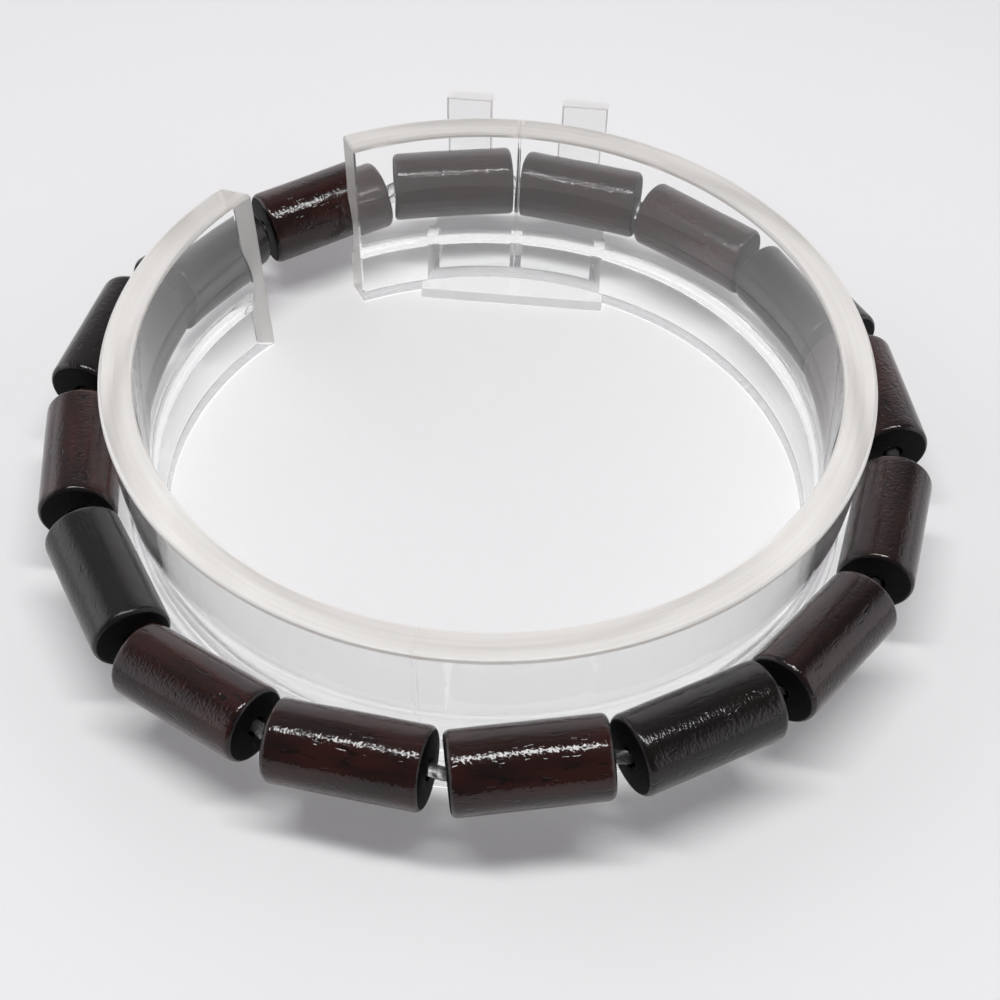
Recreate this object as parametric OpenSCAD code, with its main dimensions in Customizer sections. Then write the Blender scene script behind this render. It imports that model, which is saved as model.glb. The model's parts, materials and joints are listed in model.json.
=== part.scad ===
// Stretch bracelet of wooden tube beads on a clear C-shaped display ring.
// Millimetres. +Z is up, and the ring lies flat on the plane z = 0 with its foot towards +Y.

/* [Display ring] */
// Outer diameter at the upper edge
ring_od = 60; // [58:0.5:66]
// Height of the ring, and how far it stands above the surface
ring_h = 17; // [15:0.5:22]
// Thickness of the wall
ring_wall = 2.6; // [2:0.1:3.2]
// Draft: how much smaller the radius is at the lower edge
ring_draft = 0.8; // [0:0.1:1]
// Chamfer along the upper and lower edges
ring_chamfer = 0.3; // [0.1:0.05:0.5]
// Angle that the opening of the C takes at the inner face
gap_angle = 21.7; // [15:0.1:30]
// Direction of the middle of the opening, counted from +X
gap_direction = 131.9; // [128:0.1:150]
// How far the wall's end further round is cut aslant, so that the opening widens outwards
end_skew = 28; // [0:1:30]
// Height of the middle of the groove round the outer face
groove_z = 7; // [6.5:0.1:8]
// Width of the groove
groove_w = 6.8; // [5:0.2:8]
// Depth of the groove
groove_depth = 0.9; // [0.3:0.1:0.9]

/* [Foot] */
// Width of the foot
foot_w = 17; // [14:0.5:18]
// Thickness of the foot's plate and prongs
foot_t = 1.2; // [1:0.1:2]
// How far the foot's plate reaches in past the wall
foot_lip = 2.4; // [0:0.2:3]
// Width of each prong
prong_w = 4.3; // [3:0.1:5.5]
// Space between the two prongs
prong_gap = 6.6; // [4:0.2:6.8]
// Height of the prongs above the surface
prong_h = 13.1; // [8:0.1:15]
// Thickness of the ribs between the plate and the wall
rib_t = 1.1; // [0.8:0.1:1.5]
// Free space between the bead row and the prongs
prong_clearance = 1.5; // [0.6:0.1:3]

/* [Beads] */
// Length of a bead
bead_len = 11.4; // [10.5:0.1:12.5]
// Diameter of a bead
bead_d = 6; // [5:0.1:6.5]
// Rounding of a bead's ends
bead_edge = 0.5; // [0.2:0.05:0.6]
// Diameter of the hole through a bead
bore_d = 1.6; // [1.4:0.1:2]
// Height of the bead row's middle above the surface
row_z = 7.7; // [7:0.1:9]
// Smallest mean space between two beads, at their inner edges
bead_gap = 0.4; // [0.4:0.05:0.8]
// Space between the beads and the ungrooved face of the wall
seat_gap = 0.1; // [0.1:0.05:0.3]
// Direction of the first bead, counted from +X
first_bead = 258.8; // [254:0.1:262]

/* [Elastic cord] */
// Diameter of the cord
cord_d = 1; // [0.8:0.05:1.1]

/* [Hidden] */
FIRST_BEAD_NODE = 2;

// How each bead sits in the row, which wavers a little as it does on the real bracelet.
// Columns: degrees along the row past its even place, millimetres off the wall and above the
// row's middle, the degrees by which its end further round is raised and turned inwards, and
// millimetres of diameter over the usual one.
SLIDE = 0;
OUT = 1;
LIFT = 2;
TILT = 3;
TURN = 4;
GIRTH = 5;
bead_seats = [
    [-0.2, 0, 0.2, 3.5, 2.5, 0.1],
    [-0.8, 0, 1.1, 2.5, 1.5, 0.1],
    [-1.4, 0, 0.8, -1, 0, 0.1],
    [-1.8, 0, 0.2, -2, 0, 0],
    [-0.2, 0, -0.6, -1, 0, 0],
    [1.8, 0, -0.5, 0, 0, 0],
    [1.6, 0, -0.2, 1.5, 0, 0.1],
    [1.4, 0, 0, 0.5, 0, 0.2],
    [0.9, 0, 0.4, 0, 0, 0.2],
    [0.2, 0, 0.5, -0.5, 0, 0.3],
    [-0.3, 0, -0.6, -4, 0, 0.6],
    [0, 0, 0, 3, 0, 0.2],
    [0.2, 0.5, 0.2, -2.5, 1, 0.1],
    [-0.1, 0, -0.8, 0.5, 0, 0.2],
    [0.9, 0.1, -0.4, -1, -1.5, 0.1],
    [0.1, 0.5, -0.4, 4, 4, -0.1],
];

bead_count = len(bead_seats);
bead_pitch = 360 / bead_count;
ring_top_r = ring_od / 2;
ring_base_r = ring_top_r - ring_draft;
function face_r(z) = ring_base_r + ring_draft * z / ring_h;

// The row stands off the wall, or further out where its beads would meet at their inner edges.
row_inner_r = max(face_r(row_z) + seat_gap, (bead_len + bead_gap) / 2 / tan(bead_pitch / 2));

function bead_angle(k) = first_bead + k * bead_pitch + bead_seats[k][SLIDE];
function bead_turn(k) = bead_angle(k) + bead_seats[k][TURN];
function bead_tilt(k) = bead_seats[k][TILT];
function bead_diameter(k) = bead_d + bead_seats[k][GIRTH];
function bead_radius(k) = row_inner_r + bead_diameter(k) / 2 + bead_seats[k][OUT]
    + ring_draft * bead_seats[k][LIFT] / ring_h;
function bead_middle(k) = [
    bead_radius(k) * cos(bead_angle(k)),
    bead_radius(k) * sin(bead_angle(k)),
    row_z + bead_seats[k][LIFT],
];
function bead_axis(k) = [
    -sin(bead_turn(k)) * cos(bead_tilt(k)),
    cos(bead_turn(k)) * cos(bead_tilt(k)),
    sin(bead_tilt(k)),
];

// How far a round-edged bead reaches from the ring's axis in the direction u
function bead_reach(k, u) =
    let (along = abs(bead_axis(k) * u))
    bead_middle(k) * u
    + (bead_len / 2 - bead_edge) * along
    + (bead_diameter(k) / 2 - bead_edge) * sqrt(1 - along * along)
    + bead_edge;
function row_reach(u) = max([for (k = [0 : bead_count - 1]) bead_reach(k, u)]);

// The foot ends outside the bead row. The ring's axis stands so that the whole is centred.
foot_reach = row_reach([0, 1, 0]) + prong_clearance + foot_t;
axis_x = (row_reach([-1, 0, 0]) - row_reach([1, 0, 0])) / 2;
axis_y = (row_reach([0, -1, 0]) - foot_reach) / 2;
on_ring_axis = [axis_x, axis_y, 0];

// The groove is an arc that is deepest in its middle.
groove_r = (groove_w * groove_w / 4 + groove_depth * groove_depth) / 2 / groove_depth;
groove_centre = [face_r(groove_z) - groove_depth + groove_r, groove_z];

// The wall is turned a little past its slanting end, which is then cut off.
gap_end = gap_direction + gap_angle / 2;
end_excess = 4;
end_cut = 6;

// The plate begins inside the ring, the ribs begin inside the wall and stay clear of the beads.
foot_start = ring_base_r - ring_wall - foot_lip;
foot_root = ring_base_r - ring_wall * 0.65;
rib_clearance = 0.6;
rib_h = row_z - bead_d / 2 - rib_clearance;
rib_run = 4.5;

CLEAR = [0.86, 0.9, 0.88, 0.45];
ELASTIC = [0.93, 0.93, 0.9];
DARK_WOOD = [0.16, 0.08, 0.07];
CORD_SIDES = 8;
// How far past its hole's mouth the cord still runs straight
cord_run_out = 0.1;

// Section of the ring's wall: a leaning bar with four chamfered corners and the groove that the
// beads lie before
module wall_section() {
    c = ring_chamfer;
    difference() {
        polygon([
            [ring_base_r - ring_wall + c, 0],
            [ring_base_r - c, 0],
            [face_r(c), c],
            [face_r(ring_h - c), ring_h - c],
            [ring_top_r - c, ring_h],
            [ring_top_r - ring_wall + c, ring_h],
            [face_r(ring_h - c) - ring_wall, ring_h - c],
            [face_r(c) - ring_wall, c],
        ]);
        translate(groove_centre)
            circle(groove_r, $fn = 180);
    }
}

// The wall, open like a C
module open_wall() {
    difference() {
        rotate([0, 0, gap_end - end_excess])
            rotate_extrude(angle = 360 - gap_angle + end_excess, $fn = 120)
                wall_section();
        rotate([0, 0, gap_end])
            translate([ring_top_r - ring_wall, 0, -1])
                rotate([0, 0, end_skew])
                    translate([-ring_wall, -end_cut, 0])
                        cube([3 * ring_wall, end_cut, ring_h + 2]);
    }
}

// Ribs that stiffen the corner between the plate and the wall
module foot_rib(x) {
    translate([x - rib_t / 2, 0, 0])
        rotate([90, 0, 90])
            linear_extrude(rib_t)
                polygon([
                    [foot_root, foot_t / 2],
                    [foot_root + rib_run, foot_t / 2],
                    [foot_root + rib_run, foot_t],
                    [foot_root + ring_wall, rib_h],
                    [foot_root, rib_h],
                ]);
}

// The plate runs out under the beads, and its two prongs stand up behind them
module foot() {
    translate([-foot_w / 2, foot_start, 0])
        cube([foot_w, foot_reach - foot_start, foot_t]);
    for (x = [-prong_gap / 2 - prong_w, prong_gap / 2])
        translate([x, foot_reach - foot_t, 0])
            cube([prong_w, foot_t, prong_h]);
    for (side = [-1, 0, 1])
        foot_rib(side * (foot_w - rib_t) / 2);
}

module display_ring() {
    color(CLEAR)
        translate(on_ring_axis)
            union() {
                open_wall();
                foot();
            }
}

// Half section of a bead, with its outer corners rounded
module bead_section(d) {
    r = d / 2;
    h = bead_len / 2;
    translate([0, -h + bead_edge])
        square([r, bead_len - 2 * bead_edge]);
    translate([0, -h])
        square([r - bead_edge, bead_len]);
    for (y = [-h + bead_edge, h - bead_edge])
        translate([r - bead_edge, y])
            circle(bead_edge, $fn = 32);
}

module bead(k) {
    color(DARK_WOOD)
        translate(on_ring_axis + bead_middle(k))
            rotate([0, 0, bead_turn(k)])
                rotate([bead_tilt(k) - 90, 0, 0])
                    difference() {
                        rotate_extrude($fn = 48)
                            bead_section(bead_diameter(k));
                        cylinder(h = bead_len + 2, d = bore_d, center = true, $fn = 32);
                    }
}

// The cord runs straight through each bead and across to the next one
cord_reach = bead_len / 2 + cord_run_out;
cord_route = [
    for (k = [0 : bead_count - 1], side = [-1, 1])
        bead_middle(k) + side * cord_reach * bead_axis(k)
];

function unit(v) = v / norm(v);
function at(route, i) = route[(i + len(route)) % len(route)];
function heading(route, i) =
    unit(unit(at(route, i + 1) - at(route, i)) + unit(at(route, i) - at(route, i - 1)));

module closed_tube(route, d, sides) {
    rings = [
        for (i = [0 : len(route) - 1])
            let (
                ahead = heading(route, i),
                outward = unit(cross(ahead, [0, 0, 1])),
                upward = cross(outward, ahead)
            )
            for (s = [0 : sides - 1])
                route[i] + d / 2 * (cos(s * 360 / sides) * outward + sin(s * 360 / sides) * upward)
    ];
    faces = [
        for (i = [0 : len(route) - 1], s = [0 : sides - 1])
            let (
                here = i * sides,
                next = (i + 1) % len(route) * sides,
                t = (s + 1) % sides
            )
            each [[here + s, next + t, next + s], [here + s, here + t, next + t]]
    ];
    polyhedron(rings, faces);
}

module elastic_cord() {
    color(ELASTIC)
        translate(on_ring_axis)
            closed_tube(cord_route, cord_d, CORD_SIDES);
}

display_ring();
elastic_cord();
for (k = [0 : bead_count - 1])
    bead(k);
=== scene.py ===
"""Dresses the stretch bracelet of dark wooden tube beads and its clear display ring.

Every length is in metres unless its name says otherwise, and every angle is in degrees. +Z is up,
and the ring lies flat on the floor z = 0 with its foot towards +Y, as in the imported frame.
"""

import json
import logging
import math
from dataclasses import dataclass, field
from enum import Enum, IntEnum
from typing import Any, Sequence

import bmesh
import bpy
import numpy as np
from mathutils import Matrix, Vector

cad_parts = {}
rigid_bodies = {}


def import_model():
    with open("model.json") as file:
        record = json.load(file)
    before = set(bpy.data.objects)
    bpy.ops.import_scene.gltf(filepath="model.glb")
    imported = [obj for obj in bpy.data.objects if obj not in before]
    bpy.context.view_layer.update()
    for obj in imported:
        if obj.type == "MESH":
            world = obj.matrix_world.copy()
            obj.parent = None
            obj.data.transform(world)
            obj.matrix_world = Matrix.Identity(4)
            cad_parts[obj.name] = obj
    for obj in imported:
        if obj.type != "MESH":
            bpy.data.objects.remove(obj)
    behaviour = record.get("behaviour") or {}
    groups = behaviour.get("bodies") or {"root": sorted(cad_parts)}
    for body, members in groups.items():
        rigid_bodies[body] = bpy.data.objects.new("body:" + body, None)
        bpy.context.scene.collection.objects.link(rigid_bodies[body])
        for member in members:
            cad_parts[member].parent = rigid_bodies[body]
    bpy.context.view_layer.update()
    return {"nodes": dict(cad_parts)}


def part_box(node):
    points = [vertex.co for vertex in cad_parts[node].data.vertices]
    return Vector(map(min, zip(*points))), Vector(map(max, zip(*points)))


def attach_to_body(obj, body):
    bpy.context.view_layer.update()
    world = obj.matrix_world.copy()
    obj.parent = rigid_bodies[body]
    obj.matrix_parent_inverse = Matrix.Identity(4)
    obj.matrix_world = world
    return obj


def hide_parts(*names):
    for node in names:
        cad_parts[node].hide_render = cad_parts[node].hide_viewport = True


LOG = logging.getLogger("bracelet")
MM = 0.001
BODY = "root"
GRAIN = "grain"
Socket = bpy.types.NodeSocket
Triple = tuple[float, float, float]
Colour = tuple[float, float, float, float]
Outline = list[tuple[float, float]]


class NodeBench:
    """Adds nodes to one tree and joins their sockets."""

    def __init__(self, tree: bpy.types.NodeTree) -> None:
        """Starts work on a tree.

        Args:
            tree: The shader or geometry tree that gets the nodes.
        """
        self.tree = tree

    def add(
        self, kind: str, feeds: dict[Any, Any] | None = None, **settings: Any
    ) -> bpy.types.Node:
        """Adds one node.

        Args:
            kind: The node's type name.
            feeds: What goes into each input, by the input's name or number.
            **settings: The node's own properties.

        Returns:
            The new node.
        """
        node = self.tree.nodes.new(kind)
        for name, value in settings.items():
            setattr(node, name, value)
        for key, value in (feeds or {}).items():
            self.feed(node.inputs[key], value)
        return node

    def feed(self, socket: Socket, value: Any) -> None:
        """Links a socket to another one, or sets its value.

        Args:
            socket: The input.
            value: The output to link it to, or its new value.
        """
        if isinstance(value, Socket):
            self.tree.links.new(value, socket)
        else:
            socket.default_value = value

    def math(self, operation: str, *values: Any) -> Socket:
        """Returns the result of one sum on numbers."""
        return self.add("ShaderNodeMath", dict(enumerate(values)), operation=operation).outputs[0]

    def vector(self, operation: str, *values: Any) -> Socket:
        """Returns the vector result of one sum on vectors."""
        node = self.add("ShaderNodeVectorMath", dict(enumerate(values)), operation=operation)
        return node.outputs["Vector"]

    def part(self, vector: Socket, axis: str) -> Socket:
        """Returns one part, X, Y or Z, of a vector."""
        return self.add("ShaderNodeSeparateXYZ", {0: vector}).outputs[axis]

    def object_place(self) -> Socket:
        """Returns the place on the object."""
        return self.add("ShaderNodeTexCoord").outputs["Object"]

    def grain_place(self) -> Socket:
        """Returns the place in the bead's own frame, which the bead carries as an attribute."""
        node = self.add("ShaderNodeAttribute", attribute_type="GEOMETRY", attribute_name=GRAIN)
        return node.outputs["Vector"]

    def step(self, value: Any, low: float, high: float) -> Socket:
        """Returns a smooth step that is 0 at low and 1 at high."""
        feeds = {"Value": value, "From Min": low, "From Max": high}
        return self.add("ShaderNodeMapRange", feeds, interpolation_type="SMOOTHSTEP").outputs[0]

    def span(self, value: Any, low: float, high: float) -> Socket:
        """Returns a value between 0 and 1 spread over the span from low to high."""
        feeds = {"Value": value, "To Min": low, "To Max": high}
        return self.add("ShaderNodeMapRange", feeds).outputs[0]

    def noise(
        self, place: Socket, scale: float, detail: float = 2.0, roughness: float = 0.5
    ) -> Socket:
        """Returns a smooth noise between 0 and 1 at a place."""
        feeds = {"Vector": place, "Scale": scale, "Detail": detail, "Roughness": roughness}
        return self.add("ShaderNodeTexNoise", feeds).outputs["Fac"]

    def drawn_noise(
        self, place: Socket, pitch: Triple, detail: float = 2.0, roughness: float = 0.5
    ) -> Socket:
        """Returns a smooth noise that is drawn out by a pitch along x, y and z."""
        return self.noise(self.vector("MULTIPLY", place, pitch), 1.0, detail, roughness)

    def blend(self, share: Any, first: Any, second: Any) -> Socket:
        """Returns a mix of two colours."""
        feeds = {0: share, 6: first, 7: second}
        return self.add("ShaderNodeMix", feeds, data_type="RGBA").outputs[2]

    def bump(self, height: Any, depth: float, over: Any = None) -> Socket:
        """Returns a normal that is bumped by a height between 0 and 1.

        Args:
            height: The height's socket.
            depth: What a height of 1 measures.
            over: The normal of a coarser bump under this one.

        Returns:
            The normal's socket.
        """
        feeds = {"Height": height, "Distance": depth, "Strength": 1.0}
        if over is not None:
            feeds["Normal"] = over
        return self.add("ShaderNodeBump", feeds).outputs["Normal"]


@dataclass(frozen=True)
class Finish:
    """A finish, which builds its own node material."""

    name: str

    def material(self) -> bpy.types.Material:
        """Builds the material.

        Returns:
            The material, with the finish's shader as its surface.
        """
        material = bpy.data.materials.new(self.name)
        material.use_nodes = True
        material.node_tree.nodes.clear()
        bench = NodeBench(material.node_tree)
        bench.add("ShaderNodeOutputMaterial", {"Surface": self.shader(bench)})
        return material

    def shader(self, bench: NodeBench) -> Socket:
        """Returns the output of the finish's shader, which each finish builds on the bench."""
        raise NotImplementedError


def dimmed(colour: Colour, share: float) -> Colour:
    """Returns a share of a colour, still opaque."""
    return (share * colour[0], share * colour[1], share * colour[2], 1.0)


@dataclass(frozen=True)
class PolishedWood(Finish):
    """Dark wood, turned to a tube, with lengthwise pores and fine turning marks under its polish.

    Its pattern follows the attribute that each bead carries: a place in the bead's own frame, whose
    z runs along the bead. A pitch says how fast a pattern changes along x, y and z.
    """

    heart: Colour
    vein: Colour
    gloss: float
    half_length: float
    pore: Colour = (0.0022, 0.0012, 0.0011, 1.0)
    worn_edge: Colour = (0.0035, 0.0022, 0.0024, 1.0)
    worn_depth: tuple[float, float] = (0.35 * MM, 0.1 * MM)
    worn_dullness: float = 0.15
    streak_pitch: Triple = (620, 620, 150)
    cloud_pitch: Triple = (170, 170, 110)
    mark_pitch: Triple = (2400, 2400, 4400)
    pore_pitch: Triple = (2300, 2300, 800)
    cloud_share: float = 0.6
    pore_share: float = 0.75
    relief: float = 0.03 * MM
    waviness: float = 0.12 * MM

    def shader(self, bench: NodeBench) -> Socket:
        """Builds the wood's colour, relief and polish.

        Args:
            bench: The bench on the material's tree.

        Returns:
            The shader's output.
        """
        grain = bench.grain_place()
        streaks = bench.drawn_noise(grain, self.streak_pitch, 3.0, 0.6)
        clouds = bench.drawn_noise(grain, self.cloud_pitch, 1.0)
        marks = bench.drawn_noise(grain, self.mark_pitch, 1.0, 0.6)
        pores = bench.step(bench.drawn_noise(grain, self.pore_pitch, 1.0), 0.62, 0.72)
        along = bench.math("ABSOLUTE", bench.part(grain, "Z"))
        worn = bench.step(along, *(self.half_length - depth for depth in self.worn_depth))
        cloudy = bench.math("MULTIPLY", bench.step(clouds, 0.35, 0.8), self.cloud_share)
        porous = bench.math("MULTIPLY", pores, self.pore_share)
        colour = bench.blend(bench.step(streaks, 0.38, 0.68), self.heart, self.vein)
        colour = bench.blend(cloudy, colour, self.vein)
        colour = bench.blend(porous, colour, self.pore)
        colour = bench.blend(worn, colour, self.worn_edge)
        relief = bench.math("SUBTRACT", marks, bench.math("MULTIPLY", pores, 0.5))
        polish = bench.span(streaks, self.gloss - 0.03, self.gloss + 0.06)
        dullness = bench.math("MULTIPLY", worn, self.worn_dullness)
        return bench.add("ShaderNodeBsdfPrincipled", {
            "Base Color": colour,
            "Roughness": bench.math("ADD", polish, dullness),
            "IOR": 1.46,
            "Normal": bench.bump(relief, self.relief, over=bench.bump(clouds, self.waviness)),
        }).outputs[0]


@dataclass(frozen=True)
class SawnEndGrain(Finish):
    """The matt, nearly black end grain of a sawn bead."""

    colour: Colour = (0.0035, 0.0026, 0.0028, 1.0)
    fibre_pitch: Triple = (4200, 4200, 400)

    def shader(self, bench: NodeBench) -> Socket:
        """Builds the end grain's fibres.

        Args:
            bench: The bench on the material's tree.

        Returns:
            The shader's output.
        """
        fibres = bench.drawn_noise(bench.grain_place(), self.fibre_pitch, 2.0, 0.6)
        return bench.add("ShaderNodeBsdfPrincipled", {
            "Base Color": bench.blend(fibres, self.colour, dimmed(self.colour, 0.5)),
            "Roughness": bench.span(fibres, 0.55, 0.75),
            "Specular IOR Level": 0.12,
            "Normal": bench.bump(fibres, 0.04 * MM),
        }).outputs[0]


@dataclass(frozen=True)
class ClearAcrylic(Finish):
    """Clear moulded plastic with a slightly uneven surface, which lamps shine through unbent."""

    tint: Colour = (0.985, 0.99, 0.985, 1.0)
    shade: Colour = (0.965, 0.968, 0.965, 1.0)
    roughness: float = 0.02
    transmission: float = 0.98

    def shader(self, bench: NodeBench) -> Socket:
        """Builds the clear plastic.

        Args:
            bench: The bench on the material's tree.

        Returns:
            The shader's output.
        """
        place = bench.object_place()
        glass = bench.add("ShaderNodeBsdfPrincipled", {
            "Base Color": self.colour(bench, place),
            "Roughness": self.roughness,
            "IOR": 1.49,
            "Transmission Weight": self.transmission,
            "Normal": self.surface(bench, place),
        })
        clear = bench.add("ShaderNodeBsdfTransparent", {"Color": self.shade})
        lamp_ray = bench.add("ShaderNodeLightPath").outputs["Is Shadow Ray"]
        feeds = {0: lamp_ray, 1: glass.outputs[0], 2: clear.outputs[0]}
        return bench.add("ShaderNodeMixShader", feeds).outputs[0]

    def colour(self, bench: NodeBench, place: Socket) -> Any:
        """Returns the colour at a place."""
        return self.tint

    def surface(self, bench: NodeBench, place: Socket) -> Socket:
        """Returns the normal of the gently uneven surface at a place."""
        return bench.bump(bench.noise(place, 220.0, 0.0), 0.02 * MM)


@dataclass(frozen=True)
class TurnedRim(ClearAcrylic):
    """A sawn edge of the same plastic, milky, with fine lines round the ring's axis."""

    axis: Vector = field(default_factory=Vector)
    tint: Colour = (0.84, 0.815, 0.78, 1.0)
    streak: Colour = (0.77, 0.74, 0.7, 1.0)
    roughness: float = 0.3
    transmission: float = 0.5
    line_pitch: float = 3200.0
    line_drift: float = 60.0

    def lines(self, bench: NodeBench, place: Socket) -> Socket:
        """Builds a noise that runs in rings round the axis.

        Args:
            bench: The bench on the material's tree.
            place: The place on the object.

        Returns:
            The noise, between 0 and 1.
        """
        spoke = bench.vector("SUBTRACT", place, self.axis)
        flat = bench.vector("MULTIPLY", spoke, (1.0, 1.0, 0.0))
        length = bench.add("ShaderNodeVectorMath", {0: flat}, operation="LENGTH")
        radius = length.outputs["Value"]
        rings = bench.add("ShaderNodeCombineXYZ", {
            "X": bench.math("MULTIPLY", radius, self.line_pitch),
            "Y": bench.math("MULTIPLY", bench.part(flat, "X"), self.line_drift),
        })
        return bench.noise(rings.outputs[0], 1.0, 2.0, 0.6)

    def colour(self, bench: NodeBench, place: Socket) -> Any:
        """Returns the milky colour with its lines."""
        return bench.blend(bench.step(self.lines(bench, place), 0.35, 0.7), self.tint, self.streak)

    def surface(self, bench: NodeBench, place: Socket) -> Socket:
        """Returns the normal of the finely ringed surface."""
        return bench.bump(self.lines(bench, place), 0.015 * MM)


@dataclass(frozen=True)
class MilkyElastic(Finish):
    """Translucent white elastic, drawn in fine lengthwise strands."""

    colour: Colour = (0.95, 0.95, 0.95, 1.0)
    strand: Colour = (0.85, 0.85, 0.85, 1.0)

    def shader(self, bench: NodeBench) -> Socket:
        """Builds the elastic's strands.

        Args:
            bench: The bench on the material's tree.

        Returns:
            The shader's output.
        """
        strands = bench.noise(bench.object_place(), 9000.0, 2.0)
        return bench.add("ShaderNodeBsdfPrincipled", {
            "Base Color": bench.blend(strands, self.colour, self.strand),
            "Roughness": 0.1,
            "IOR": 1.4,
            "Transmission Weight": 0.96,
            "Normal": bench.bump(strands, 0.03 * MM),
        }).outputs[0]


@dataclass(frozen=True)
class PaleTable(Finish):
    """Matt off-white table top with a very fine tooth."""

    colour: Colour = (0.87, 0.868, 0.875, 1.0)

    def shader(self, bench: NodeBench) -> Socket:
        """Builds the table top's tooth and faint shades.

        Args:
            bench: The bench on the material's tree.

        Returns:
            The shader's output.
        """
        place = bench.object_place()
        tooth = bench.noise(place, 2500.0, 3.0)
        shade = bench.noise(place, 60.0, 2.0)
        return bench.add("ShaderNodeBsdfPrincipled", {
            "Base Color": bench.blend(shade, self.colour, dimmed(self.colour, 0.985)),
            "Roughness": bench.span(tooth, 0.6, 0.75),
            "Specular IOR Level": 0.2,
            "Normal": bench.bump(tooth, 0.02 * MM),
        }).outputs[0]


class WoodTone(Enum):
    """How dark one bead's wood is: the colours of its heart and its veins, and its roughness."""

    RED_BROWN = ((0.027, 0.0066, 0.0048, 1.0), (0.008, 0.0028, 0.0025, 1.0), 0.1)
    DARK_BROWN = ((0.02, 0.0075, 0.006, 1.0), (0.0065, 0.003, 0.0028, 1.0), 0.12)
    BLACK_BROWN = ((0.0065, 0.0034, 0.0032, 1.0), (0.003, 0.0021, 0.0022, 1.0), 0.16)
    CHARCOAL = ((0.0065, 0.0055, 0.0062, 1.0), (0.0045, 0.004, 0.0044, 1.0), 0.22)

    def finish(self, half_length: float) -> PolishedWood:
        """Returns the finish of a bead of this tone and half length."""
        heart, vein, gloss = self.value
        return PolishedWood(f"wood_{self.name.lower()}", heart, vein, gloss, half_length)


def place_mesh(name: str, mesh: bpy.types.Mesh) -> bpy.types.Object:
    """Puts a mesh in the scene as an object at the origin.

    Args:
        name: The object's name.
        mesh: Its mesh, with its place in its points.

    Returns:
        The object.
    """
    made = bpy.data.objects.new(name, mesh)
    bpy.context.scene.collection.objects.link(made)
    return made


def bake_modifiers(made: bpy.types.Object) -> None:
    """Turns the result of an object's modifiers into its plain mesh, and removes them.

    Args:
        made: The object.
    """
    graph = bpy.context.evaluated_depsgraph_get()
    result = bpy.data.meshes.new_from_object(made.evaluated_get(graph), depsgraph=graph)
    result.name = made.name
    made.modifiers.clear()
    made.data = result


def attach(piece: bpy.types.Object, nodes: Sequence[str]) -> None:
    """Rides a piece on the body, hides the nodes that it stands for, and reports it.

    Args:
        piece: The finished piece.
        nodes: The nodes that the piece replaces.
    """
    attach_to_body(piece, BODY)
    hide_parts(*nodes)
    LOG.info("%s: %d faces, for %s", piece.name, len(piece.data.polygons), ", ".join(nodes))


class TreeInputs:
    """A geometry tree with named inputs, and the way to set them on a modifier."""

    def __init__(self, name: str, inputs: dict[str, str]) -> None:
        """Starts a geometry tree.

        Args:
            name: The tree's name.
            inputs: The socket type of each named input.
        """
        self.tree = bpy.data.node_groups.new(name, "GeometryNodeTree")
        face = self.tree.interface
        face.new_socket(name="Geometry", in_out="OUTPUT", socket_type="NodeSocketGeometry")
        face.new_socket(name="Geometry", in_out="INPUT", socket_type="NodeSocketGeometry")
        self.keys = {
            label: face.new_socket(name=label, in_out="INPUT", socket_type=kind).identifier
            for label, kind in inputs.items()
        }
        self.bench = NodeBench(self.tree)
        self.given = self.bench.add("NodeGroupInput").outputs

    def finish(self, geometry: Socket, ends: Socket | None = None) -> None:
        """Ends the tree: smooth shading, realised instances and the given material.

        Args:
            geometry: The geometry that leaves the tree.
            ends: Where the faces get the end material, if there is one.
        """
        smooth = self.bench.add("GeometryNodeSetShadeSmooth", {"Geometry": geometry})
        real = self.bench.add("GeometryNodeRealizeInstances", {"Geometry": smooth.outputs[0]})
        dressed = self.bench.add("GeometryNodeSetMaterial", {
            "Geometry": real.outputs[0],
            "Material": self.given["Material"],
        })
        if ends is not None:
            dressed = self.bench.add("GeometryNodeSetMaterial", {
                "Geometry": dressed.outputs[0],
                "Selection": ends,
                "Material": self.given["End Material"],
            })
        self.bench.add("NodeGroupOutput", {0: dressed.outputs[0]})

    def apply(self, made: bpy.types.Object, values: dict[str, Any]) -> None:
        """Runs the tree on an object and keeps the result as its plain mesh.

        Args:
            made: The object whose mesh goes in.
            values: The value of each named input.
        """
        modifier = made.modifiers.new(self.tree.name, "NODES")
        modifier.node_group = self.tree
        for label, value in values.items():
            modifier[self.keys[label]] = value
        bake_modifiers(made)


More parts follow.
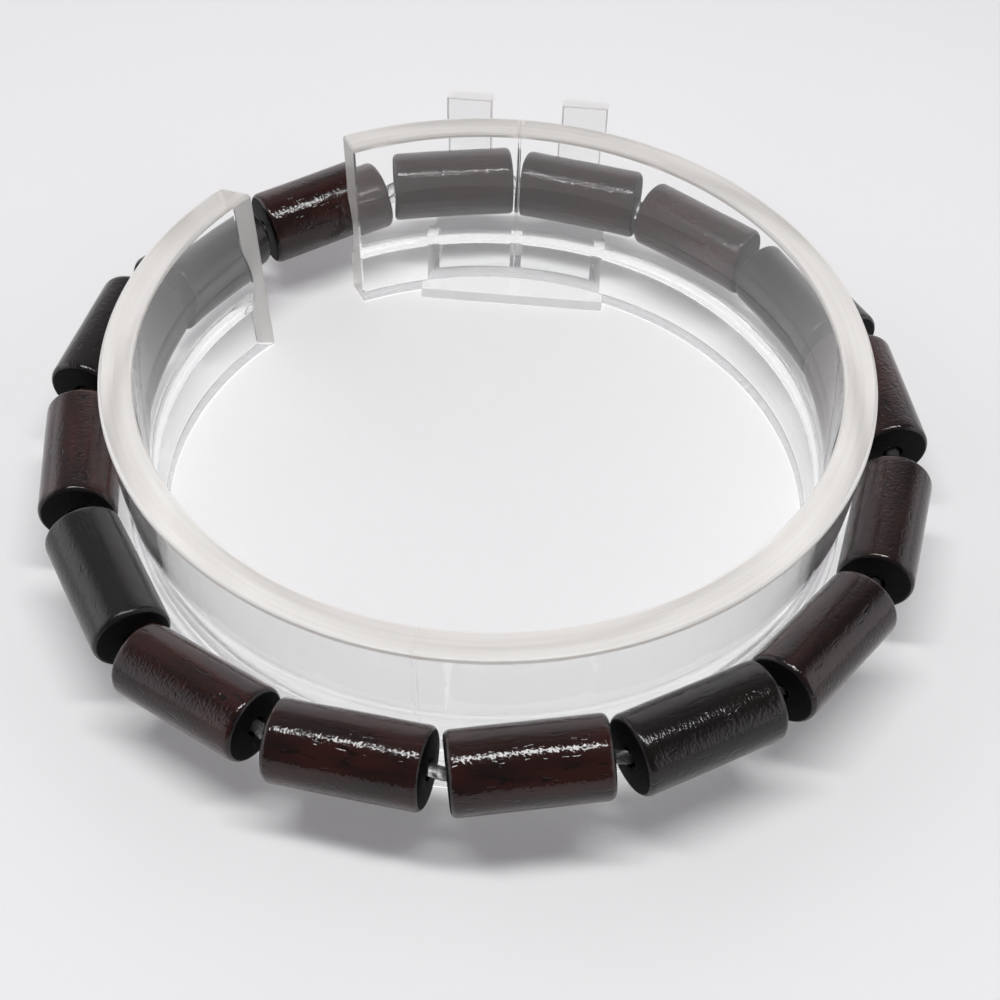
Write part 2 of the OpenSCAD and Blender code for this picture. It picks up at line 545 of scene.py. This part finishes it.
@dataclass
class BeadSeat:
    """Where one bead lies: its middle, the way its hole runs, and its size."""

    node: str
    middle: Vector
    along: Vector
    length: float
    diameter: float

    @classmethod
    def of_node(cls, node: str, solid: bpy.types.Object, axis: Vector) -> "BeadSeat":
        """Finds the seat of a packed bead.

        Args:
            node: The bead's node.
            solid: The node's object.
            axis: A point on the display ring's axis.

        Returns:
            The seat, with its direction going round the row anticlockwise.
        """
        mesh = solid.data
        mesh.calc_loop_triangles()
        points = np.empty(len(mesh.vertices) * 3)
        mesh.vertices.foreach_get("co", points)
        points = points.reshape(-1, 3)
        corners = np.empty(len(mesh.loop_triangles) * 3, dtype=np.int32)
        mesh.loop_triangles.foreach_get("vertices", corners)
        a, b, c = (points[corners.reshape(-1, 3)[:, k]] for k in range(3))
        area = np.linalg.norm(np.cross(b - a, c - a), axis=1)
        centre = (a + b + c) / 3
        middle = (centre * area[:, None]).sum(0) / area.sum()
        spread = ((centre - middle) * area[:, None]).T @ (centre - middle)
        along = np.linalg.eigh(spread)[1][:, -1]
        round_row = np.cross((0, 0, 1), middle - np.array(axis))
        along = along * np.sign(along @ round_row)
        reach = (points - middle) @ along
        radial = np.linalg.norm(points - middle - np.outer(reach, along), axis=1)
        length, radius = float(np.ptp(reach)), float(radial.max())
        return cls(node, Vector(middle), Vector(along), length, 2 * radius)


@dataclass
class WoodenBeads:
    """The row of drilled tube beads, all made by one node tree."""

    seats: list[BeadSeat]
    bore: float = 1.6 * MM
    edge: float = 0.5 * MM
    edge_steps: int = 6
    mouth: float = 0.12 * MM
    waver: float = 0.035 * MM
    ripple_pitch: Triple = (230, 230, 190)
    sawn_depth: float = 0.1 * MM
    facets: int = 64
    length_cuts: int = 22
    seed_step: float = 0.05
    tones: tuple[WoodTone, ...] = (
        WoodTone.RED_BROWN, WoodTone.RED_BROWN, WoodTone.BLACK_BROWN, WoodTone.DARK_BROWN,
        WoodTone.DARK_BROWN, WoodTone.RED_BROWN, WoodTone.BLACK_BROWN, WoodTone.RED_BROWN,
        WoodTone.RED_BROWN, WoodTone.RED_BROWN, WoodTone.RED_BROWN, WoodTone.BLACK_BROWN,
        WoodTone.BLACK_BROWN, WoodTone.RED_BROWN, WoodTone.CHARCOAL, WoodTone.RED_BROWN,
    )
    finishes: dict[WoodTone, bpy.types.Material] = field(default_factory=dict)

    def half_section(self, tree: TreeInputs, here: Socket) -> Socket:
        """Draws one side of the drilled tube's section, eased at its corners and cut lengthwise.

        Args:
            tree: The beads' tree.
            here: The place of a point.

        Returns:
            The section's curve, with its middle at the origin.
        """
        bench, given = tree.bench, tree.given
        wall = bench.math("MULTIPLY", bench.math("SUBTRACT", given["Diameter"], given["Bore"]), 0.5)
        corners = bench.add("GeometryNodeCurvePrimitiveQuadrilateral", {
            "Width": wall, "Height": given["Length"]})
        across, up = bench.part(here, "X"), bench.part(here, "Y")
        outer = bench.math("GREATER_THAN", across, 0.0)
        inner = bench.math("SUBTRACT", 1.0, outer)
        softness = bench.math("ADD", bench.math("MULTIPLY", outer, given["Edge"]),
                              bench.math("MULTIPLY", inner, given["Mouth"]))
        rounded = bench.add("GeometryNodeFilletCurve", {
            "Curve": corners.outputs[0], "Count": self.edge_steps, "Radius": softness}, mode="POLY")
        flat_end = bench.math("SUBTRACT", bench.math("MULTIPLY", given["Length"], 0.5), softness)
        straight = bench.math("LESS_THAN", bench.math("ABSOLUTE", up),
                              bench.math("ADD", flat_end, 1e-6))
        leading = bench.math("LESS_THAN", bench.math("MULTIPLY", across, up), 0.0)
        cuts = bench.math("MULTIPLY", bench.math("MULTIPLY", straight, leading), self.length_cuts)
        feeds = {"Curve": rounded.outputs[0], "Cuts": cuts}
        return bench.add("GeometryNodeSubdivideCurve", feeds).outputs[0]

    def tube(self, tree: TreeInputs, section: Socket) -> Socket:
        """Sweeps the section round the hole.

        Args:
            tree: The beads' tree.
            section: The section's curve.

        Returns:
            The tube's mesh, which stands upright at the origin.
        """
        bench, given = tree.bench, tree.given
        width = bench.math("ADD", given["Diameter"], given["Bore"])
        circle = bench.add("GeometryNodeCurvePrimitiveCircle", {
            "Resolution": self.facets, "Radius": bench.math("MULTIPLY", width, 0.25)})
        feeds = {"Curve": circle.outputs[0], "Profile Curve": section}
        return bench.add("GeometryNodeCurveToMesh", feeds).outputs[0]

    def turned_wood(self, tree: TreeInputs, tube: Socket, here: Socket) -> Socket:
        """Gives the tube its place in the wood, and a surface that wavers a little with it.

        Args:
            tree: The beads' tree.
            tube: The tube's mesh.
            here: The place of a point.

        Returns:
            The uneven tube.
        """
        bench, given = tree.bench, tree.given
        offset = bench.add("ShaderNodeCombineXYZ", {
            "X": given["Seed"], "Y": bench.math("MULTIPLY", given["Seed"], 0.37)})
        wood = bench.vector("ADD", here, offset.outputs[0])
        feeds = {"Geometry": tube, "Name": GRAIN, "Value": wood}
        marked = bench.add("GeometryNodeStoreNamedAttribute", feeds, data_type="FLOAT_VECTOR",
                           domain="POINT")
        radial = bench.vector("MULTIPLY", here, (1.0, 1.0, 0.0))
        ripple = bench.math("SUBTRACT", bench.drawn_noise(wood, self.ripple_pitch), 0.5)
        shift = bench.add("ShaderNodeVectorMath", {
            0: bench.vector("NORMALIZE", radial),
            "Scale": bench.math("MULTIPLY", ripple, bench.math("MULTIPLY", given["Waver"], 2.0)),
        }, operation="SCALE")
        feeds = {"Geometry": marked.outputs[0], "Offset": shift.outputs[0]}
        return bench.add("GeometryNodeSetPosition", feeds).outputs[0]

    def drilled_bead(self) -> TreeInputs:
        """Builds the tree that makes a bead from its sizes, seats it and dresses its sawn ends.

        Returns:
            The tree.
        """
        tree = TreeInputs("drilled_bead", {
            "Length": "NodeSocketFloat", "Diameter": "NodeSocketFloat", "Bore": "NodeSocketFloat",
            "Edge": "NodeSocketFloat", "Mouth": "NodeSocketFloat", "Waver": "NodeSocketFloat",
            "Seed": "NodeSocketFloat", "Middle": "NodeSocketVector", "Along": "NodeSocketVector",
            "Material": "NodeSocketMaterial", "End Material": "NodeSocketMaterial",
        })
        bench, given = tree.bench, tree.given
        here = bench.add("GeometryNodeInputPosition").outputs[0]
        tube = self.tube(tree, self.half_section(tree, here))
        turn = bench.add("FunctionNodeAlignRotationToVector", {"Vector": given["Along"]}, axis="Z")
        seated = bench.add("GeometryNodeTransform", {
            "Geometry": self.turned_wood(tree, tube, here),
            "Translation": given["Middle"],
            "Rotation": turn.outputs[0],
        })
        feeds = {"Name": GRAIN}
        place = bench.add("GeometryNodeInputNamedAttribute", feeds, data_type="FLOAT_VECTOR")
        level = bench.math("ABSOLUTE", bench.part(place.outputs[0], "Z"))
        ends = bench.math("GREATER_THAN", bench.math("ADD", level, self.sawn_depth),
                          bench.math("MULTIPLY", given["Length"], 0.5))
        tree.finish(seated.outputs[0], ends)
        return tree

    def wood(self, tone: WoodTone, half_length: float) -> bpy.types.Material:
        """Finds the material of a tone, and makes it when it is first asked for.

        Args:
            tone: The tone.
            half_length: Half of a bead's length.

        Returns:
            The material.
        """
        if tone not in self.finishes:
            self.finishes[tone] = tone.finish(half_length).material()
        return self.finishes[tone]

    def build(self) -> None:
        """Builds and dresses every bead."""
        tree = self.drilled_bead()
        end_grain = SawnEndGrain("end_grain").material()
        for number, (seat, tone) in enumerate(zip(self.seats, self.tones), start=1):
            name = seat.node.replace("bead", "wooden_bead")
            piece = place_mesh(name, bpy.data.meshes.new(name))
            tree.apply(piece, {
                "Length": seat.length,
                "Diameter": seat.diameter - self.waver,
                "Bore": self.bore,
                "Edge": self.edge,
                "Mouth": self.mouth,
                "Waver": self.waver,
                "Seed": self.seed_step * number,
                "Middle": seat.middle,
                "Along": seat.along,
                "Material": self.wood(tone, seat.length / 2),
                "End Material": end_grain,
            })
            attach(piece, [seat.node])


@dataclass
class ElasticCord:
    """The closed elastic cord through all the beads."""

    seats: list[BeadSeat]
    diameter: float = 1.0 * MM
    facets: int = 16
    run_out: float = 0.1 * MM
    bend: float = 0.3 * MM
    bend_steps: int = 4

    def route(self) -> bpy.types.Mesh:
        """Lays the cord's path: straight through each bead and across to the next one.

        Returns:
            The path, as a closed row of edges.
        """
        points = [
            seat.middle + side * (seat.length / 2 + self.run_out) * seat.along
            for seat in self.seats
            for side in (-1, 1)
        ]
        mesh = bpy.data.meshes.new("cord_route")
        mesh.from_pydata(points, [(k, (k + 1) % len(points)) for k in range(len(points))], [])
        return mesh

    def thread(self) -> TreeInputs:
        """Builds the tree that gives the path its round section.

        Returns:
            The tree.
        """
        tree = TreeInputs("round_cord", {
            "Diameter": "NodeSocketFloat", "Bend": "NodeSocketFloat",
            "Material": "NodeSocketMaterial",
        })
        bench, given = tree.bench, tree.given
        line = bench.add("GeometryNodeMeshToCurve", {"Mesh": given["Geometry"]})
        eased = bench.add("GeometryNodeFilletCurve", {
            "Curve": line.outputs[0],
            "Count": self.bend_steps,
            "Radius": given["Bend"],
            "Limit Radius": True,
        }, mode="POLY")
        ring = bench.add("GeometryNodeCurvePrimitiveCircle", {
            "Resolution": self.facets, "Radius": bench.math("MULTIPLY", given["Diameter"], 0.5)})
        feeds = {"Curve": eased.outputs[0], "Profile Curve": ring.outputs[0]}
        tree.finish(bench.add("GeometryNodeCurveToMesh", feeds).outputs[0])
        return tree

    def build(self) -> None:
        """Builds and dresses the cord."""
        piece = place_mesh("elastic_thread", self.route())
        self.thread().apply(piece, {
            "Diameter": self.diameter,
            "Bend": self.bend,
            "Material": MilkyElastic("milky_elastic").material(),
        })
        attach(piece, ["elastic_cord"])


def ease_corners(corners: Outline, radius: float, steps: int) -> Outline:
    """Rounds each corner of a closed outline.

    Args:
        corners: The outline's corners.
        radius: The radius of each rounding.
        steps: How many straight pieces each rounding has.

    Returns:
        The rounded outline.
    """
    eased: Outline = []
    for k, corner in enumerate(corners):
        here = Vector(corner)
        back = (Vector(corners[k - 1]) - here).normalized()
        ahead = (Vector(corners[(k + 1) % len(corners)]) - here).normalized()
        half = back.angle(ahead) / 2
        centre = here + (back + ahead).normalized() * (radius / math.sin(half))
        start = here + back * (radius / math.tan(half)) - centre
        stop = here + ahead * (radius / math.tan(half)) - centre
        for step in range(steps + 1):
            spoke = start.lerp(stop, step / steps).normalized() * radius
            eased.append(tuple(centre + spoke))
    return eased


class RingSlot(IntEnum):
    """The display ring's material slots."""

    CLEAR = 0
    RIM = 1
    FOOT_EDGE = 2


@dataclass
class DisplayRing:
    """The clear C-shaped ring with its foot, as one moulding."""

    axis: Vector
    foot_reach: float
    top_radius: float = 30 * MM
    height: float = 17 * MM
    wall: float = 2.6 * MM
    draft: float = 0.8 * MM
    edge: float = 0.3 * MM
    edge_steps: int = 4
    upright_sections: int = 440
    groove_height: float = 7 * MM
    groove_width: float = 6.8 * MM
    groove_depth: float = 0.9 * MM
    groove_steps: int = 20
    gap_angle: float = 21.7
    gap_direction: float = 131.9
    end_skew: float = 28.0
    end_blend: float = 8.0
    partings: tuple[float, ...] = (90.0, 265.5)
    flash_width: float = 0.3 * MM
    flash_height: float = 0.04 * MM
    foot_width: float = 17 * MM
    foot_thickness: float = 1.2 * MM
    foot_lip: float = 2.4 * MM
    prong_width: float = 4.3 * MM
    prong_gap: float = 6.6 * MM
    prong_height: float = 13.1 * MM
    prong_bottom: float = 0.4 * MM
    rib_thickness: float = 1.1 * MM
    rib_height: float = 4.1 * MM
    rib_run: float = 4.5 * MM
    softened: float = 0.15 * MM
    sharp_angle: float = 25.0

    @classmethod
    def in_box(cls, low: Vector, high: Vector) -> "DisplayRing":
        """Finds the ring's axis and the foot's reach.

        Args:
            low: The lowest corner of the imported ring's box.
            high: The highest corner.

        Returns:
            The display ring in its place.
        """
        axis = Vector((high.x - cls.top_radius, low.y + cls.top_radius, 0.0))
        return cls(axis, high.y - axis.y)

    @property
    def base_radius(self) -> float:
        """Outer radius at the lower edge."""
        return self.top_radius - self.draft

    @property
    def foot_root(self) -> float:
        """How far from the axis the ribs begin, inside the wall."""
        return self.base_radius - 0.65 * self.wall

    @property
    def first_end(self) -> float:
        """The direction of the wall's slanting end, from which the wall runs round."""
        return self.gap_direction + self.gap_angle / 2

    def face_radius(self, level: float) -> float:
        """Returns the radius of the ungrooved outer face at a height."""
        return self.base_radius + self.draft * level / self.height

    def groove(self) -> Outline:
        """Draws the groove's arc in the outer face.

        Returns:
            The arc, from below, as radius and height.
        """
        half = self.groove_width / 2
        arc = (half * half + self.groove_depth * self.groove_depth) / 2 / self.groove_depth
        middle = self.face_radius(self.groove_height) - self.groove_depth + arc
        outline = []
        for step in range(self.groove_steps + 1):
            level = self.groove_height - half * math.cos(math.pi * step / self.groove_steps)
            sunk = middle - math.sqrt(arc ** 2 - (level - self.groove_height) ** 2)
            outline.append((min(sunk, self.face_radius(level)), level))
        return outline

    def section(self) -> Outline:
        """Draws the wall's section, with its groove.

        Returns:
            The closed outline, as radius and height.
        """
        outline = ease_corners([
            (self.base_radius - self.wall, 0.0),
            (self.base_radius, 0.0),
            (self.top_radius, self.height),
            (self.top_radius - self.wall, self.height),
        ], self.edge, self.edge_steps)
        lower = 2 * (self.edge_steps + 1)
        return outline[:lower] + self.groove() + outline[lower:]

    def end_lean(self, radius: float, direction: float) -> float:
        """Finds how far a point near the slanting end leans round.

        Args:
            radius: The point's distance from the axis.
            direction: The direction of its upright section.

        Returns:
            The angle, which is 0 beyond the end's blend.
        """
        share = max(0.0, 1.0 - (direction - self.first_end) / self.end_blend)
        lean = (radius - self.top_radius + self.wall) * math.tan(math.radians(self.end_skew))
        return share * math.degrees(lean / radius)

    def columns(self) -> list[tuple[float, float]]:
        """Lists the upright sections of the wall.

        Returns:
            Each section's direction and how far it is swollen.
        """
        first = self.first_end
        last = first + 360.0 - self.gap_angle
        eased = math.degrees(self.softened / self.top_radius)
        columns = {first: -self.softened, first + eased: 0.0}
        columns |= {last - eased: 0.0, last: -self.softened}
        steps = self.upright_sections
        for k in range(1, steps):
            columns[first + eased + (last - first - 2 * eased) * k / steps] = 0.0
        half = math.degrees(self.flash_width / self.top_radius / 2)
        for line in self.partings:
            line += 360.0 if line < first else 0.0
            for offset in (-1.0, -0.5, 0.0, 0.5, 1.0):
                columns[line + offset * half] = self.flash_height * (1.0 - abs(offset))
        return sorted(columns.items())

    def wall_mesh(self) -> bpy.types.Mesh:
        """Builds the wall as a closed shell with softened ends.

        Returns:
            The wall's mesh.
        """
        outline = [Vector(point) for point in self.section()]
        count = len(outline)
        outward = []
        for k in range(count):
            chord = (outline[(k + 1) % count] - outline[k - 1]).normalized()
            outward.append(Vector((chord.y, -chord.x)))
        shell = bmesh.new()
        rings = []
        for direction, swell in self.columns():
            ring = []
            for point, normal in zip(outline, outward):
                radius, height = point + normal * swell
                turn = math.radians(direction + self.end_lean(radius, direction))
                place = (radius * math.cos(turn), radius * math.sin(turn), max(height, 0.0))
                ring.append(shell.verts.new(self.axis + Vector(place)))
            rings.append(ring)
        rim_bottom = self.height - 1.5 * self.edge
        for ring, after in zip(rings, rings[1:]):
            for k in range(count):
                j = (k + 1) % count
                face = shell.faces.new((ring[k], ring[j], after[j], after[k]))
                on_rim = min(outline[k].y, outline[j].y) > rim_bottom
                face.material_index = RingSlot.RIM if on_rim else RingSlot.CLEAR
        for ring in (rings[0], rings[-1]):
            shell.faces.new(ring).material_index = RingSlot.RIM
        return self.closed(shell, "wall")

    def block(self, name: str, low: Triple, high: Triple, clear: Vector) -> bpy.types.Mesh:
        """Builds a block with softened edges.

        Args:
            name: The mesh's name.
            low: The lowest corner, from the ring's axis.
            high: The highest corner.
            clear: The direction that the clear faces face. The other faces are milky.

        Returns:
            The block's mesh.
        """
        outline = [(low[1], low[2]), (high[1], low[2]), (high[1], high[2]), (low[1], high[2])]
        return self.prism(name, outline, low[0], high[0], clear)

    def prism(
        self, name: str, outline: Outline, low: float, high: float, clear: Vector
    ) -> bpy.types.Mesh:
        """Builds a solid with softened edges from its outline.

        Args:
            name: The mesh's name.
            outline: The outline's corners in y and z, from the ring's axis.
            low: The lowest x.
            high: The highest x.
            clear: The direction that the clear faces face, or nought. The other faces are milky.

        Returns:
            The solid's mesh.
        """
        solid = bmesh.new()
        near = [solid.verts.new(self.axis + Vector((low, y, z))) for y, z in outline]
        far = [solid.verts.new(self.axis + Vector((high, y, z))) for y, z in outline]
        solid.faces.new(near)
        solid.faces.new(far)
        for k in range(len(outline)):
            j = (k + 1) % len(outline)
            solid.faces.new((near[k], near[j], far[j], far[k]))
        bmesh.ops.bevel(solid, geom=solid.edges[:], offset=self.softened, segments=2,
                        profile=0.5, affect="EDGES")
        solid.normal_update()
        for face in solid.faces:
            is_clear = abs(face.normal.dot(clear)) > 0.95
            face.material_index = RingSlot.CLEAR if is_clear else RingSlot.FOOT_EDGE
        return self.closed(solid, name)

    @staticmethod
    def closed(shell: bmesh.types.BMesh, name: str) -> bpy.types.Mesh:
        """Turns a closed shell's faces outwards and makes it a mesh.

        Args:
            shell: The shell, which is freed.
            name: The mesh's name.

        Returns:
            The mesh.
        """
        bmesh.ops.recalc_face_normals(shell, faces=shell.faces[:])
        mesh = bpy.data.meshes.new(name)
        shell.to_mesh(mesh)
        shell.free()
        return mesh

    def foot_meshes(self) -> list[bpy.types.Mesh]:
        """Builds the foot's plate, prongs and ribs, which overlap a little where they join.

        Returns:
            Their meshes.
        """
        half = self.foot_width / 2
        thick = self.foot_thickness
        start = self.base_radius - self.wall - self.foot_lip
        upward, backward, nowhere = Vector((0, 0, 1)), Vector((0, 1, 0)), Vector()
        low, high = (-half, start, 0.0), (half, self.foot_reach, thick)
        meshes = [self.block("plate", low, high, upward)]
        for side in (-self.prong_gap / 2 - self.prong_width, self.prong_gap / 2):
            low = (side, self.foot_reach - thick, self.prong_bottom)
            high = (side + self.prong_width, self.foot_reach, self.prong_height)
            meshes.append(self.block("prong", low, high, backward))
        outline = [
            (self.foot_root, 0.5 * thick),
            (self.foot_root + self.rib_run, 0.5 * thick),
            (self.foot_root + self.rib_run, thick),
            (self.foot_root + self.wall, self.rib_height),
            (self.foot_root, self.rib_height),
        ]
        for side in (-1, 0, 1):
            middle = side * (self.foot_width - self.rib_thickness) / 2
            left = middle - self.rib_thickness / 2
            meshes.append(self.prism("rib", outline, left, left + self.rib_thickness, nowhere))
        return meshes

    def finishes(self) -> dict[RingSlot, ClearAcrylic]:
        """Returns the finish of each slot."""
        return {
            RingSlot.CLEAR: ClearAcrylic("clear_acrylic"),
            RingSlot.RIM: TurnedRim("milky_rim", axis=self.axis),
            RingSlot.FOOT_EDGE: TurnedRim(
                "pale_foot_edge", axis=self.axis, transmission=0.25,
                tint=(0.96, 0.95, 0.94, 1.0), streak=(0.92, 0.91, 0.9, 1.0)),
        }

    def build(self) -> None:
        """Joins the wall and the foot, and dresses the ring."""
        piece = place_mesh("clear_display_ring", self.wall_mesh())
        materials = [finish.material() for _, finish in sorted(self.finishes().items())]
        tools = [place_mesh(mesh.name, mesh) for mesh in self.foot_meshes()]
        for part in (piece, *tools):
            for material in materials:
                part.data.materials.append(material)
        for tool in tools:
            joined = piece.modifiers.new("joined", "BOOLEAN")
            joined.operation = "UNION"
            joined.solver = "EXACT"
            joined.object = tool
        bake_modifiers(piece)
        for tool in tools:
            bpy.data.objects.remove(tool)
        piece.data.polygons.foreach_set("use_smooth", [True] * len(piece.data.polygons))
        piece.data.set_sharp_from_angle(angle=math.radians(self.sharp_angle))
        flatness = piece.modifiers.new("flat_faces", "WEIGHTED_NORMAL")
        flatness.keep_sharp = True
        bake_modifiers(piece)
        attach(piece, ["display_ring"])


@dataclass
class Studio:
    """The pale table, the soft light and the camera at the photograph's viewing angle.

    The camera's place is given from the ring's axis at the floor, in a frame that is turned a
    little from the ring's own. The lamp's place is given from the same point.
    """

    axis: Vector
    turn: float = 4.5
    distance: float = 147.17 * MM
    elevation: float = 48.19
    roll: float = 1.99
    aim: tuple[float, float] = (1.21 * MM, -0.39 * MM)
    focal_pixels: float = 1733.79
    frame_pixels: float = 1000.0
    lowered_pixels: float = 1.0
    sensor: float = 36.0
    near_clip: float = 5 * MM
    lamp_place: Triple = (0.0, -0.04, 0.35)
    lamp_size: tuple[float, float] = (0.3, 0.038)
    lamp_power: float = 0.8
    room_colour: Colour = (0.995, 0.97, 1.0, 1.0)
    room_light: float = 0.16
    ceiling_light: float = 0.3
    side_light: float = 1.2
    back_light: float = 0.7
    table_reach: float = 2.0

    def build(self) -> None:
        """Builds the table, the lights and the camera."""
        self.table()
        self.room()
        self.ceiling_lamp()
        self.camera()
        bpy.context.scene.view_settings.view_transform = "Standard"

    def table(self) -> None:
        """Lays the table top at the floor."""
        reach = self.table_reach
        corners = [(-reach, -reach, 0), (reach, -reach, 0), (reach, reach, 0), (-reach, reach, 0)]
        mesh = bpy.data.meshes.new("table_top")
        mesh.from_pydata(corners, [], [(0, 1, 2, 3)])
        mesh.materials.append(PaleTable("pale_table").material())
        place_mesh("table_top", mesh)

    def room(self) -> None:
        """Surrounds the table with soft light, brighter from the back, the sides and above."""
        world = bpy.data.worlds.new("soft_room")
        bpy.context.scene.world = world
        world.use_nodes = True
        world.node_tree.nodes.clear()
        bench = NodeBench(world.node_tree)
        way = bench.add("ShaderNodeTexCoord").outputs["Generated"]
        across, depth = bench.part(way, "X"), bench.part(way, "Y")
        slant = bench.math("SUBTRACT", depth, bench.math("MULTIPLY", across, 0.45))
        lit = (
            (bench.step(slant, 0.1, 0.7), self.ceiling_light),
            (bench.step(bench.math("ABSOLUTE", across), 0.65, 0.9), self.side_light),
            (bench.step(depth, 0.7, 0.85), self.back_light),
        )
        strength = self.room_light
        for part, light in lit:
            strength = bench.math("ADD", strength, bench.math("MULTIPLY", part, light))
        feeds = {"Color": self.room_colour, "Strength": strength}
        light = bench.add("ShaderNodeBackground", feeds)
        bench.add("ShaderNodeOutputWorld", {"Surface": light.outputs[0]})

    def ceiling_lamp(self) -> None:
        """Hangs a rectangular lamp, its width along x, that points at the ring's middle."""
        data = bpy.data.lights.new("ceiling_panel", "AREA")
        data.shape = "RECTANGLE"
        data.size, data.size_y = self.lamp_size
        data.energy = self.lamp_power
        lamp = bpy.data.objects.new("ceiling_panel", data)
        place = Vector(self.lamp_place)
        upward = place.normalized()
        deep = upward.cross(Vector((1, 0, 0))).normalized()
        turned = Matrix((deep.cross(upward), deep, upward)).transposed().to_4x4()
        lamp.matrix_world = Matrix.Translation(self.axis + place) @ turned
        bpy.context.scene.collection.objects.link(lamp)

    def camera(self) -> None:
        """Sets the camera at the photograph's viewing angle."""
        raised = math.radians(self.elevation)
        turned = Matrix.Rotation(math.radians(self.turn), 3, "Z")
        back, above = self.distance * math.cos(raised), self.distance * math.sin(raised)
        place = turned @ Vector((0, -back, above))
        ahead = (turned @ Vector((*self.aim, 0)) - place).normalized()
        side = ahead.cross(Vector((0, 0, 1))).normalized()
        upward = side.cross(ahead)
        roll = math.radians(self.roll)
        right = math.cos(roll) * side + math.sin(roll) * upward
        up = right.cross(ahead)
        dip = self.lowered_pixels / self.focal_pixels
        ahead = (ahead - dip * up).normalized()
        up = right.cross(ahead)
        data = bpy.data.cameras.new("camera")
        data.sensor_width = self.sensor
        data.lens = self.focal_pixels / self.frame_pixels * self.sensor
        data.clip_start = self.near_clip
        camera = bpy.data.objects.new("camera", data)
        facing = Matrix((right, up, -ahead)).transposed().to_4x4()
        camera.matrix_world = Matrix.Translation(self.axis + place) @ facing
        bpy.context.scene.collection.objects.link(camera)
        bpy.context.scene.camera = camera


def main() -> None:
    """Builds the studio, the display ring, the cord and the beads, and reports them."""
    logging.basicConfig(level=logging.INFO, format="%(name)s: %(message)s")
    for default in list(bpy.data.objects):
        bpy.data.objects.remove(default)
    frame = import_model()
    ring = DisplayRing.in_box(*(Vector(corner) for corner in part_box("display_ring")))
    seats = [
        BeadSeat.of_node(node, frame["nodes"][node], ring.axis)
        for node in sorted(frame["nodes"])
        if node.startswith("bead_")
    ]
    for part in (Studio(ring.axis), ring, ElasticCord(seats), WoodenBeads(seats)):
        part.build()


if __name__ == "__main__":
    main()
